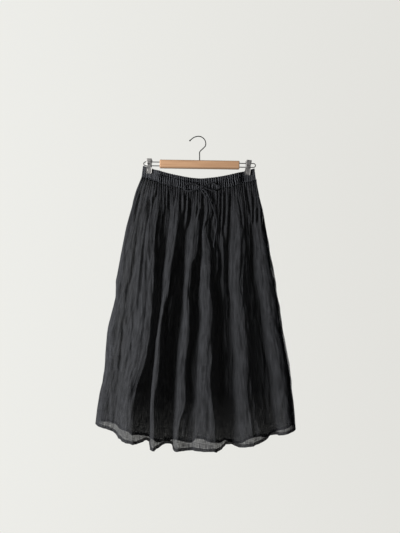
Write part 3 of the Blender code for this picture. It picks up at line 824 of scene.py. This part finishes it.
class Net:
    """The nodes of a material or of the world, and short ways to add to them."""

    def __init__(self, tree):
        self.nodes = tree.nodes
        self.link = tree.links.new

    def add(self, kind, values=None):
        """A new node, with plain values on some of its inputs."""
        made = self.nodes.new(f"ShaderNode{kind}")
        preset(made, values or {})
        return made

    def combined(self, operation, first, second):
        """Two values through one operation; either may be a plain number."""
        made = self.add("Math")
        made.operation = operation
        for socket, value in zip(made.inputs, (first, second)):
            if isinstance(value, (int, float)):
                socket.default_value = value
            else:
                self.link(value, socket)
        return made.outputs["Value"]

    def times(self, first, second):
        """The product of two values."""
        return self.combined("MULTIPLY", first, second)

    def plus(self, first, second):
        """The sum of two values."""
        return self.combined("ADD", first, second)

    def ranged(self, value, low, high, to_low, to_high):
        """A value moved from one range to another."""
        made = self.add("MapRange", {"From Min": low, "From Max": high, "To Min": to_low, "To Max": to_high})
        self.link(value, made.inputs["Value"])
        return made.outputs["Result"]

    def apart(self, source):
        """The X, Y and Z of some coordinates."""
        made = self.add("SeparateXYZ")
        self.link(source, made.inputs["Vector"])
        return made.outputs

    def grain(self, source, scale, detail=2.0, stretch=(1, 1, 1)):
        """A noise texture on a stretched copy of some coordinates."""
        mapping = self.add("Mapping", {"Scale": stretch})
        self.link(source, mapping.inputs["Vector"])
        texture = self.add("TexNoise", {"Scale": scale, "Detail": detail})
        self.link(mapping.outputs["Vector"], texture.inputs["Vector"])
        return texture.outputs["Fac"]

    def threads(self, source, direction, pitch):
        """Rows of threads along one direction of the flat cloth, slightly uneven."""
        texture = self.add("TexWave", {"Scale": 0.314 / pitch, "Distortion": 1.4, "Detail Scale": 60.0})
        texture.bands_direction = direction
        self.link(source, texture.inputs["Vector"])
        return texture.outputs["Fac"]

    def tinted(self, value, dark, light):
        """A colour between two, by a value."""
        ramp = self.add("ValToRGB")
        for element, position, colour in zip(ramp.color_ramp.elements, (0.25, 0.75), (dark, light)):
            element.position = position
            element.color = (*colour, 1)
        self.link(value, ramp.inputs["Fac"])
        return ramp.outputs["Color"]

    def faded(self, value, first, second):
        """A colour between two, each a plain colour or a socket."""
        made = self.add("Mix")
        made.data_type = "RGBA"
        self.link(value, made.inputs["Factor"])
        for socket, colour in (("A", first), ("B", second)):
            if isinstance(colour, tuple):
                made.inputs[socket].default_value = (*colour, 1)
            else:
                self.link(colour, made.inputs[socket])
        return made.outputs["Result"]

    def mixed(self, share, first, second):
        """Two surfaces mixed by a share."""
        made = self.add("MixShader")
        if isinstance(share, float):
            made.inputs["Fac"].default_value = share
        else:
            self.link(share, made.inputs["Fac"])
        self.link(first, made.inputs[1])
        self.link(second, made.inputs[2])
        return made.outputs["Shader"]

    def relief(self, height, strength, distance, surface):
        """Small bumps on a surface, by a height."""
        bump = self.add("Bump", {"Strength": strength, "Distance": distance})
        self.link(height, bump.inputs["Height"])
        self.link(bump.outputs["Normal"], surface.inputs["Normal"])


def new_material(name):
    """An empty node material, its network and its Principled surface."""
    made = bpy.data.materials.new(name)
    made.use_nodes = True
    net = Net(made.node_tree)
    return made, net, net.nodes["Principled BSDF"]


def gauze(name, dark, light, sheer, hem_sheer=None, painted_light_left_sheer=None):
    """Slubby black gauze: uneven threads both ways, matt with a soft sheen, see-through by a share.

    It may be thinner towards its hem, and more see-through at its left side as painted light; it is denser
    beside its side seams.
    """
    made, net, surface = new_material(name)
    cloth = net.add("UVMap")
    cloth.uv_map = "cloth"
    flat = cloth.outputs["UV"]
    warp, weft = (net.threads(flat, direction, THREAD_PITCH) for direction in "XY")
    weave = net.times(net.plus(warp, weft), 0.5)
    slub_down, slub_across = (net.grain(flat, 900, 1.0, stretch) for stretch in ((1, 0.05, 1), (0.05, 1, 1)))
    slubs = net.times(net.plus(slub_down, slub_across), 0.5)
    mottle = net.grain(flat, 28, 4.0)
    crinkle = net.grain(flat, 130, 3.0, (1, 0.18, 1))
    # Painted shade: the crinkle darkens the colour in its own hollows; the slubs and mottle are the cloth's
    # own uneven tone
    tone_and_crinkle_shade = net.plus(net.times(crinkle, 0.5), net.times(slubs, 0.35))
    tone_and_crinkle_shade = net.plus(tone_and_crinkle_shade, net.times(mottle, 0.15))
    tone_and_crinkle_shade = net.ranged(tone_and_crinkle_shade, 0.35, 0.65, 0.2, 0.8)
    net.link(net.tinted(tone_and_crinkle_shade, dark, light), surface.inputs["Base Color"])
    preset(surface, {
        "Roughness": 0.85,
        "Specular IOR Level": 0.12,
        "Sheen Weight": 0.05,
        "Sheen Roughness": 0.45,
        "Sheen Tint": (0.75, 0.8, 0.9, 1),
    })
    height = net.plus(net.plus(net.times(weave, 0.35), slubs), net.times(crinkle, 15.0))
    net.relief(height, 0.55, 0.0007, surface)
    through_light = net.add("BsdfTranslucent", {"Color": (*(1.6 * value for value in light), 1)})
    soft = net.mixed(0.18, surface.outputs["BSDF"], through_light.outputs["BSDF"])
    gaps = net.ranged(slubs, 0.35, 0.65, sheer * 1.7, sheer * 0.3)
    place = net.apart(flat)
    middle = PANEL_CUT[0] / 2
    beside = net.combined("ABSOLUTE", net.combined("SUBTRACT", place["X"], middle), 0.0)
    gaps = net.times(gaps, net.ranged(beside, *(middle - reach for reach in SEAM_REACH), 1, 0.25))
    if hem_sheer is not None:
        at_hem = net.ranged(place["Y"], *HEM_REACH, 1, hem_sheer / sheer)
        # Painted light: more see-through towards the left side
        painted_light_at_left = net.ranged(place["X"], *PAINTED_LIGHT_LEFT_REACH, painted_light_left_sheer / sheer, 1)
        gaps = net.times(gaps, net.combined("MAXIMUM", at_hem, painted_light_at_left))
    clear = net.add("BsdfTransparent").outputs["BSDF"]
    net.link(net.mixed(gaps, soft, clear), net.nodes["Material Output"].inputs["Surface"])
    return made


def bar_wood(name):
    """Pale wood with fine grain along the bar, painted shade along its lower and upper edges, and a satin
    lacquer.
    """
    made, net, surface = new_material(name)
    place = net.add("TexCoord").outputs["Object"]
    long_grain = net.grain(place, 160, 5.0, (0.06, 1, 1))
    fibres = net.grain(place, 900, 3.0, (0.03, 1, 1))
    both = net.plus(net.times(long_grain, 0.65), net.times(fibres, 0.35))
    height = net.add("VectorMath")
    height.operation = "DOT_PRODUCT"
    height.inputs[1].default_value = (math.sin(HANG_TILT), 0, math.cos(HANG_TILT))
    net.link(place, height.inputs[0])
    middle = BAR_Z * math.cos(HANG_TILT) + SHAFT_X * math.sin(HANG_TILT)
    over_middle = net.plus(height.outputs["Value"], -middle)
    # Painted shade: the colour darker towards the bar's lower and upper edges
    painted_shade_below = net.ranged(over_middle, -BAR_HEIGHT * 0.28, -BAR_HEIGHT * 0.45, 0, 0.9)
    painted_shade_above = net.ranged(over_middle, BAR_HEIGHT * 0.36, BAR_HEIGHT * 0.48, 0, 0.45)
    tone = net.faded(net.plus(painted_shade_below, painted_shade_above), net.tinted(both, WOOD_DARK, WOOD_LIGHT), WOOD_PAINTED_SHADE)
    net.link(tone, surface.inputs["Base Color"])
    net.link(net.ranged(fibres, 0.3, 0.7, 0.42, 0.58), surface.inputs["Roughness"])
    preset(surface, {"Coat Weight": 0.15, "Coat Roughness": 0.3})
    net.relief(fibres, 0.25, 0.0003, surface)
    return made


def bright_steel(name, colour, roughness):
    """Plated steel wire and sheet, with faint draw marks and a slightly uneven shine."""
    made, net, surface = new_material(name)
    place = net.add("TexCoord").outputs["Object"]
    marks = net.grain(place, 1400, 2.0, (1, 1, 0.15))
    smudges = net.grain(place, 120, 3.0)
    preset(surface, {"Base Color": (*colour, 1), "Metallic": 1.0})
    net.link(net.ranged(smudges, 0.3, 0.7, roughness * 0.7, roughness * 1.5), surface.inputs["Roughness"])
    net.relief(marks, 0.12, 0.0001, surface)
    return made


def smooth_route(points, step):
    """Points read from a smooth curve through a route's own points, about one step apart."""
    route = np.array(points, float)
    along = lengths_along(route)
    places = np.linspace(0, along[-1], max(4, round(along[-1] / step)) + 1)
    return np.array([[through(along, route[:, k], p) for k in range(3)] for p in places])


def tube_mesh(name, path, profile, material, closed=False):
    """A tube along a path, its flat side to the front, as (half width, half thickness) at each point."""
    steps = np.gradient(path, axis=0) if not closed else np.roll(path, -1, 0) - np.roll(path, 1, 0)
    steps /= np.linalg.norm(steps, axis=1)[:, None]
    across = np.cross(steps, (0.0, -1.0, 0.0))
    across /= np.linalg.norm(across, axis=1)[:, None]
    up = np.cross(across, steps)
    sides = 14
    bm = bmesh.new()
    rings = []
    for p, a, u, (half_width, half_thick) in zip(path, across, up, profile):
        ring = []
        for k in range(sides):
            turn = 2 * math.pi * k / sides
            ring.append(bm.verts.new(p + a * half_width * math.cos(turn) + u * half_thick * math.sin(turn)))
        rings.append(ring)
    pairs = list(zip(rings, rings[1:])) + ([(rings[-1], rings[0])] if closed else [])
    for ring, following in pairs:
        for k in range(sides):
            j = (k + 1) % sides
            bm.faces.new((ring[k], ring[j], following[j], following[k]))
    if not closed:
        bm.faces.new(rings[0])
        bm.faces.new(rings[-1])
    bmesh.ops.recalc_face_normals(bm, faces=bm.faces)
    unwrapped = bm.loops.layers.uv.new("cloth")
    for face in bm.faces:
        face.smooth = True
        for loop in face.loops:
            co = loop.vert.co
            loop[unwrapped].uv = (co.x + co.y, co.z)
    return finished(name, bm, material)


def tie(name, route, far_end, material, node):
    """A stretch of the drawstring: a narrow strip of cloth folded into a soft flat tie."""
    path = smooth_route([[v * MM for v in p] for p in route], 2 * MM)
    share = np.linspace(0, 1, len(path))
    width = STRING / 2 * (1 + 0.06 * np.sin(share * 23) + 0.04 * np.sin(share * 51 + 1))
    thick = STRING_THICK / 2 * (1 + 0.10 * np.sin(share * 17 + 2))
    if far_end == "bare":
        width *= 1 - 0.25 * smooth_step(0.985, 1, share)
    made = tube_mesh(name, path, np.stack([width, thick], axis=1), material)
    hang(made, "drawstring", node)


def bow_knot(material):
    """The bow's knot: the tie wound into a small overhand knot."""
    turns = np.linspace(0, 2 * math.pi, 72, endpoint=False)
    x = (np.sin(turns) + 2 * np.sin(2 * turns)) / 3 * (KNOT_SIZE[0] / 2 - 2.0 * MM)
    z = (np.cos(turns) - 2 * np.cos(2 * turns)) / 3 * (KNOT_SIZE[2] / 2 - 2.0 * MM)
    y = -np.sin(3 * turns) * (KNOT_SIZE[1] / 2 - 2.4 * MM)
    path = np.stack([x, y, z], axis=1) + np.array(KNOT)
    profile = np.tile([2.3 * MM, 2.1 * MM], (len(path), 1))
    made = tube_mesh("bow_knot", path, profile, material, closed=True)
    hang(made, "drawstring", "drawstring_knot")


def wire(name, points, diameter, material, swells=()):
    """A smooth wire through points, thicker by some times at some of them."""
    curve = bpy.data.curves.new(name, "CURVE")
    curve.dimensions = "3D"
    curve.bevel_depth = diameter / 2
    curve.bevel_resolution = 4
    curve.use_fill_caps = True
    spline = curve.splines.new("POLY")
    spline.points.add(len(points) - 1)
    spline.use_smooth = True
    for point, place in zip(spline.points, points):
        point.co = (*place, 1)
    for index, times in swells:
        spline.points[index].radius = times
    return linked(name, curve, material)


def stitches(name, line, outward, length, gap, material):
    """A row of small thread stitches along a line of points; outward is the way they stand proud."""
    along = lengths_along(line)
    starts = np.arange(gap, along[-1] - length - gap, length + gap)
    bm = bmesh.new()
    for start in starts:
        ends = [np.array([np.interp(at, along, column) for column in line.T])
                for at in (start, start + length)]
        run = ends[1] - ends[0]
        middle = (ends[0] + ends[1]) / 2 + outward * 0.25 * MM
        run /= np.linalg.norm(run)
        side = np.cross(run, outward)
        side /= np.linalg.norm(side)
        tips = [bm.verts.new(ends[0]), bm.verts.new(ends[1])]
        waist = []
        for turn in np.arange(4) * math.pi / 2:
            away = side * math.cos(turn) + outward * math.sin(turn)
            waist.append(bm.verts.new(middle + THREAD_RADIUS * away))
        for k in range(4):
            j = (k + 1) % 4
            bm.faces.new((tips[0], waist[j], waist[k]))
            bm.faces.new((tips[1], waist[k], waist[j]))
    bmesh.ops.recalc_face_normals(bm, faces=bm.faces)
    hang(finished(name, bm, material), "drawstring")


def hook_wire(material):
    """The hanger's hook, finer than its solid, with its ball tip."""
    crown = 22 * MM
    centre = (-0.5 * MM, HOOK_WIRE / 2 - crown)
    turns = np.radians(np.linspace(-20, 108, 26))
    over = [(centre[0] + crown * math.cos(a), 0, centre[1] + crown * math.sin(a)) for a in turns]
    neck = [(3, -70.7), (3, -62), (3, -55), (3, -47), (6, -42), (14, -34.5)]
    tip = [(-13.5, -1.6), (-20.5, -6.5), (-25.8, -11.2), (-27.8, -12.9)]
    route = [(x * MM, 0, z * MM) for x, z in neck] + over + [(x * MM, 0, z * MM) for x, z in tip]
    path = smooth_route(route, 1.2 * MM)
    from_end = np.linalg.norm(path - path[-1], axis=1)
    ball = HOOK_TIP / HOOK_WIRE
    swells = []
    for index, away in enumerate(from_end):
        if away < HOOK_TIP:
            bulge = math.sqrt(max(1 - (away / (HOOK_TIP / 2) - 1) ** 2, 0.02)) * ball
            swells.append((index, bulge if away < HOOK_TIP * 0.86 else 1.0))
    made = wire("hook_wire", path, HOOK_WIRE, material, swells=swells)
    hang(made, "steel", "hanger_hook")


def turned(points, angle):
    """Points turned about the Y axis."""
    points = np.asarray(points, float)
    x, y, z = (points[..., k] for k in range(3))
    c, s = math.cos(angle), math.sin(angle)
    return np.stack([x * c + z * s, y, z * c - x * s], axis=-1)


def on_bar(points):
    """Points given from the bar's middle, turned with the bar's slight tilt into the frame."""
    return turned(points, HANG_TILT) + np.array([SHAFT_X, 0, BAR_Z])


def rail_wire(name, side, material):
    """A wire loop from the bar's end through its clip and back, finer than its solid."""
    start = side * (BAR_LENGTH / 2 + 0.3 * MM)
    turn = side * (BAR_LENGTH / 2 + RAIL_REACH - RAIL_APART / 2)
    half = RAIL_APART / 2
    runs = np.linspace(start, turn, 8)[:-1]
    bend = [(turn + side * half * math.sin(a), 0, half * math.cos(a)) for a in np.linspace(0, math.pi, 17)]
    route = [(x, 0, half) for x in runs] + bend + [(x, 0, -half) for x in runs[::-1]]
    hang(wire(name, on_bar(route), RAIL_WIRE, material), "steel", name.replace("wire", "hanger"))


def on_clip(points, x, lean):
    """Points given from where a clip sits on its lower rail, leaning and moved to it."""
    return on_bar(turned(points, lean) + np.array([x, 0, -RAIL_APART / 2]))


def clip_plate(name, x, lean, jaw, material, node):
    """A pressed clip plate: flanged jaw, waist at the spring, ribbed handle, and a slot in a front one."""
    spring_face = SPRING_RADIUS + 0.5 * MM
    jaw_face = WAIST_PINCHED + 2.3 * MM
    profile = np.array([
        # height, how far it stands off, half width, in metres
        (-24.0 * MM, jaw_face + 1.0 * MM, 7.2 * MM),
        (-23.2 * MM, jaw_face - 0.1 * MM, 8.2 * MM),
        (-21.0 * MM, jaw_face, 8.5 * MM),
        (-10.0 * MM, jaw_face + 0.2 * MM, 8.5 * MM),
        (-4.0 * MM, spring_face - 0.2 * MM, 7.6 * MM),
        (2.5 * MM, spring_face, 7.0 * MM),
        (8.0 * MM, spring_face + 1.4 * MM, 7.6 * MM),
        (17.0 * MM, HANDLE_SPREAD - 0.6 * MM, 8.4 * MM),
        (20.0 * MM, HANDLE_SPREAD + 0.6 * MM, 8.0 * MM),
    ])
    rows = smooth_route(profile, 0.9 * MM)
    across = np.linspace(-1, 1, 33)
    inner = np.abs(across)
    grid = []
    for height, away, half in rows:
        gripped = smooth_step(8 * MM, 10 * MM, height) * smooth_step(19 * MM, 17.5 * MM, height)
        ribs = RIB_HEIGHT * gripped * math.sin(height / RIB_PITCH * 2 * math.pi) * (inner < 0.72)
        clamping = smooth_step(-3 * MM, -6 * MM, height)
        flange = (1.0 * MM * clamping - 0.8 * MM * (1 - clamping)) * smooth_step(0.62, 1.0, inner)
        panel = 0.5 * MM * smooth_step(0.62, 0.5, inner) * math.exp(-((height + 13 * MM) / (5 * MM)) ** 4)
        stand = away + ribs + flange + panel
        grid.append(np.stack([across * half, jaw * stand, np.full(len(across), height)], axis=1))
    points = on_clip(np.array(grid), x, lean)
    in_slot = np.array([SLOT_HEIGHTS[0] < height < SLOT_HEIGHTS[1] for height, _, _ in rows])
    slot = in_slot[:, None] & (inner < 0.66) if jaw < 0 else None
    made = sheet_mesh(name, points, (CLIP_WIDTH, PLATE_LENGTH), PLATE, material, slot)
    soft = made.modifiers.new("rolled", "BEVEL")
    soft.width = 0.25 * MM
    soft.segments = 2
    soft.limit_method = "ANGLE"
    hang(made, "steel", node)


def clip_spring(name, x, lean, material, node):
    """The coil spring between a clip's plates, wound on the lower rail."""
    coil_radius = SPRING_RADIUS - 0.9 * MM
    turns = np.linspace(0, 2 * math.pi * SPRING_TURNS, 20 * SPRING_TURNS)
    along = (turns / turns[-1] - 0.5) * (SPRING_LENGTH - 1.2 * MM)
    coil = np.stack([along, coil_radius * np.sin(turns), coil_radius * np.cos(turns)], axis=1)
    hang(wire(name, on_clip(coil, x, lean), SPRING_WIRE, material), "steel", node)


def window(name, place, power, pieces):
    """A soft square light that falls on some pieces alone."""
    data = bpy.data.lights.new(name, "AREA")
    data.shape = "SQUARE"
    data.size = WINDOW_SIZE
    data.energy = power
    data.color = WINDOW_TONE
    made = linked(name, data)
    made.location = place
    made.rotation_euler = (Vector(WINDOW_AIM) - Vector(place)).to_track_quat("-Z", "Y").to_euler()
    made.visible_camera = False
    reached = bpy.data.collections.new(f"{name}_reach")
    for piece in pieces:
        reached.objects.link(piece)
    made.light_linking.receiver_collection = reached


def set_camera():
    """The camera that sees the skirt as the photo does."""
    data = bpy.data.cameras.new("camera")
    data.sensor_width = SENSOR
    data.lens = SENSOR * -CAMERA[1] / SEEN_HEIGHT
    made = linked("camera", data)
    made.location = CAMERA
    made.rotation_euler = (math.pi / 2, 0, 0)
    bpy.context.scene.camera = made


def set_world():
    """Soft even light from all around, a little stronger from above."""
    world = bpy.data.worlds.new("room")
    world.use_nodes = True
    bpy.context.scene.world = world
    net = Net(world.node_tree)
    background = net.nodes["Background"]
    preset(background, {"Color": (*ROOM_TONE, 1)})
    height = net.apart(net.add("TexCoord").outputs["Generated"])["Z"]
    net.link(net.ranged(height, -1, 1, *ROOM_LIGHT), background.inputs["Strength"])


def set_backdrop():
    """A large pale shell all around, darker to the right as painted shade. It shows behind the part and
    gives no light.
    """
    bm = bmesh.new()
    bmesh.ops.create_icosphere(bm, subdivisions=4, radius=BACKDROP_RADIUS)
    for face in bm.faces:
        face.smooth = True
    pale, net, surface = new_material("backdrop_tone")
    net.nodes.remove(surface)
    across = net.apart(net.add("TexCoord").outputs["Object"])["X"]
    reach = 0.45 * BACKDROP_RADIUS
    glow = net.add("Emission")
    # Painted shade: the glow darker towards the right
    tone = net.faded(net.ranged(across, -reach, reach, 0, 1), BACKDROP_LEFT, BACKDROP_RIGHT)
    net.link(tone, glow.inputs["Color"])
    net.link(glow.outputs["Emission"], net.nodes["Material Output"].inputs["Surface"])
    shell = finished("backdrop", bm, pale)
    shell.visible_diffuse = False
    shell.visible_glossy = False
    shell.visible_transmission = False
    shell.visible_volume_scatter = False
    shell.visible_shadow = False


set_camera()
set_world()
set_backdrop()
bpy.context.scene.view_settings.view_transform = "Standard"
bpy.context.scene.cycles.transparent_max_bounces = 24

tie_cloth = gauze("tie_cloth", TIE_DARK, TIE_LIGHT, 0.0)
for tie_name, tie_route, tie_far_end, tie_node in (
    ("bow_loop_left", LOOP_LEFT, "object", "drawstring_loop_left"),
    ("bow_loop_right", LOOP_RIGHT, "object", "drawstring_loop_right"),
    ("tie_end_left", END_LEFT, "bare", "drawstring_end_left"),
    ("tie_end_right", END_RIGHT, "bare", "drawstring_end_right"),
):
    tie(tie_name, tie_route, tie_far_end, tie_cloth, tie_node)
bow_knot(tie_cloth)

front_cloth = gauze("front_cloth", CLOTH_DARK, CLOTH_LIGHT, SHEER_FRONT)
# The back: less see-through above its hem, painted shade, and more at its left, painted light
back_cloth = gauze("back_cloth", CLOTH_DARK, CLOTH_LIGHT, SHEER_BACK, SHEER_BACK_HEM, SHEER_BACK_LEFT_PAINTED_LIGHT)
casing_cloth = gauze("casing_cloth", CASING_DARK, CASING_LIGHT, SHEER_CASING)
thread = gauze("sewing_thread", TIE_LIGHT, CLOTH_LIGHT, 0.0)

front = Cloth(FRONT_FOLDS, FRONT_GRID[0], -1, FRONT_TRACKS, FRONT_CREASES, FRONT_SHIFT)
back_creases = [(proud, *widths[::-1], [(down, 2 * SEEN_MIDDLE - across) for down, across in route])
                for proud, *widths, route in FRONT_CREASES]
back = Cloth(BACK_FOLDS, BACK_GRID[0], 1, {}, back_creases, BACK_SHIFT, BACK_WANDER)
sides = (("front", front, FRONT_GRID[1], front_cloth), ("back", back, BACK_GRID[1], back_cloth))
for which, cloth, rows, gauzy in sides:
    panel = panel_rows(cloth, rows)
    made = sheet_mesh(f"panel_{which}", panel, PANEL_CUT, CLOTH, gauzy)
    hang(made, "cloth", f"skirt_{which}")
    outward = np.array([0, cloth.side, 0])
    hem_row = panel[round(rows * (1 - HEM_TURN / PANEL_DROP) ** (1 / ROW_SPACING))]
    stitches(f"hem_stitches_{which}", hem_row + outward * 0.45 * MM, outward, *HEM_STITCH, thread)

for which, cloth, _, _ in sides:
    columns = GATHERS * CASING_COLUMNS_A_GATHER
    fine = Cloth(cloth.folds, columns, cloth.side, cloth.tracks, (), cloth.shift, cloth.wander)
    band = casing_rows(fine, CASING_ROWS)
    made = sheet_mesh(f"casing_{which}", band, CASING_CUT, CLOTH, casing_cloth)
    hang(made, "cloth", f"waistband_{which}")
    outward = np.array([0, cloth.side, 0])
    for label, drop in (("header", HEADER_HEIGHT), ("seam", CASING_HEIGHT - 1.5 * MM)):
        row = band[round(CASING_ROWS * (1 - drop / CASING_HEIGHT))]
        stitches(f"{label}_stitches_{which}", row + outward * 0.4 * MM, outward, *CASING_STITCH, thread)

# The wires get a darker colour than the plates' same plating: painted shade
wire_steel_painted_shade = bright_steel("wire_steel_painted_shade", WIRE_STEEL_PAINTED_SHADE, 0.3)
plate_steel = bright_steel("plate_steel", PLATE_STEEL, 0.55)
hook_wire(wire_steel_painted_shade)
rail_wire("wire_rail_left", -1, wire_steel_painted_shade)
rail_wire("wire_rail_right", 1, wire_steel_painted_shade)
for clip_side, clip_x, clip_lean in CLIPS:
    for which, jaw in (("front", -1), ("back", 1)):
        label = f"{clip_side}_{which}"
        clip_plate(f"plate_{label}", clip_x, clip_lean, jaw, plate_steel, f"clip_{label}")
    clip_spring(f"coil_{clip_side}", clip_x, clip_lean, wire_steel_painted_shade, f"clip_{clip_side}_spring")
wood = bar_wood("pale_wood")
frame["nodes"]["hanger_bar"].data.materials.clear()
frame["nodes"]["hanger_bar"].data.materials.append(wood)

finishes = (
    ("cloth", WINDOW_ON_CLOTH, (front_cloth, back_cloth, casing_cloth, tie_cloth, thread)),
    ("wood", WINDOW_ON_WOOD, (wood,)),
    ("wire", WINDOW_ON_WIRE, (wire_steel_painted_shade,)),
    ("plates", WINDOW_ON_PLATES, (plate_steel,)),
)
for finish, power, materials in finishes:
    pieces = [piece for piece in bpy.data.objects
              if any(slot.material in materials for slot in piece.material_slots)]
    for which, place, share in WINDOWS:
        window(f"{which}_window_on_{finish}", place, power * share, pieces)
